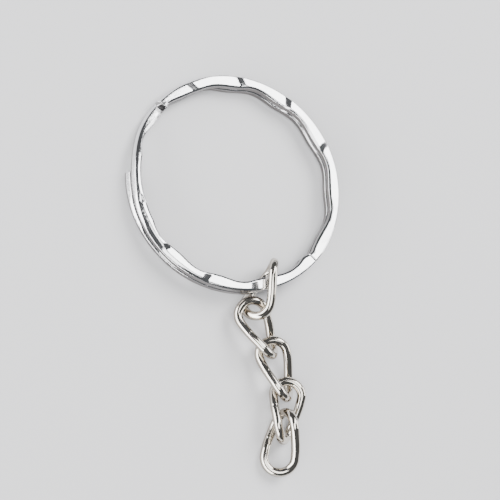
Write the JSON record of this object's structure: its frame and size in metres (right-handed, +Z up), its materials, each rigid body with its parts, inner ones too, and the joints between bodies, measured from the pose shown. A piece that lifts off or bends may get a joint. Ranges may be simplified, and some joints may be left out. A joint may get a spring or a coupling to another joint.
{
  "type": "split key ring with chain",
  "caption": "Split key ring of double-wound flattened wire with hammered flats, carrying a short chain of twisted curb links.",
  "frame": {"origin": "centre of the split ring, halfway between its two coils", "axes": "+Z up from the table that the object lies on; the chain leaves the ring towards -Y; the ring leans 2.8 degrees about X because its -Y side lies on the first link"},
  "size_m": [0.03, 0.0537, 0.0052],
  "materials": {
    "ring_nickel": "bright nickel plate over hammered steel wire",
    "chain_nickel": "warm nickel plate, tumbled"
  },
  "bodies": {
    "split_ring": {"split_ring": "ring_nickel"},
    "split_ring_leaf": {"split_ring_leaf": "ring_nickel"},
    "link_1": {"link_1": "chain_nickel"},
    "link_2": {"link_2": "chain_nickel"},
    "link_3": {"link_3": "chain_nickel"},
    "link_4": {"link_4": "chain_nickel"},
    "link_5": {"link_5": "chain_nickel"}
  },
  "joints": [
    {"name": "leaf_flex", "type": "hinge", "parent": "split_ring", "child": "split_ring_leaf", "pos_m": [0.00704, -0.01323, 0.00067], "axis": [-0.8829, -0.4689, 0.0229], "range_deg": [-6, 0], "stiffness_Nm_per_rad": 1.8},
    {"name": "link_1_slide_round", "type": "hinge", "parent": "split_ring", "child": "link_1", "pos_m": [0, 0, 0], "axis": [0, -0.0488, -0.9988], "continuous": true},
    {"name": "link_2_curl", "type": "hinge", "parent": "link_1", "child": "link_2", "pos_m": [-0.0038, -0.01732, 0.00038], "axis": [0, 0, 1], "range_deg": [-20, 35]},
    {"name": "link_3_curl", "type": "hinge", "parent": "link_2", "child": "link_3", "pos_m": [-0.00254, -0.02298, 0.00006], "axis": [0, 0, 1], "range_deg": [-35, 35]},
    {"name": "link_4_curl", "type": "hinge", "parent": "link_3", "child": "link_4", "pos_m": [-0.0024, -0.02891, 0.00005], "axis": [0, 0, 1], "range_deg": [-11, 35]},
    {"name": "link_5_curl", "type": "hinge", "parent": "link_4", "child": "link_5", "pos_m": [-0.00504, -0.03385, 0.00032], "axis": [0, 0, 1], "range_deg": [-15, 5]}
  ]
}
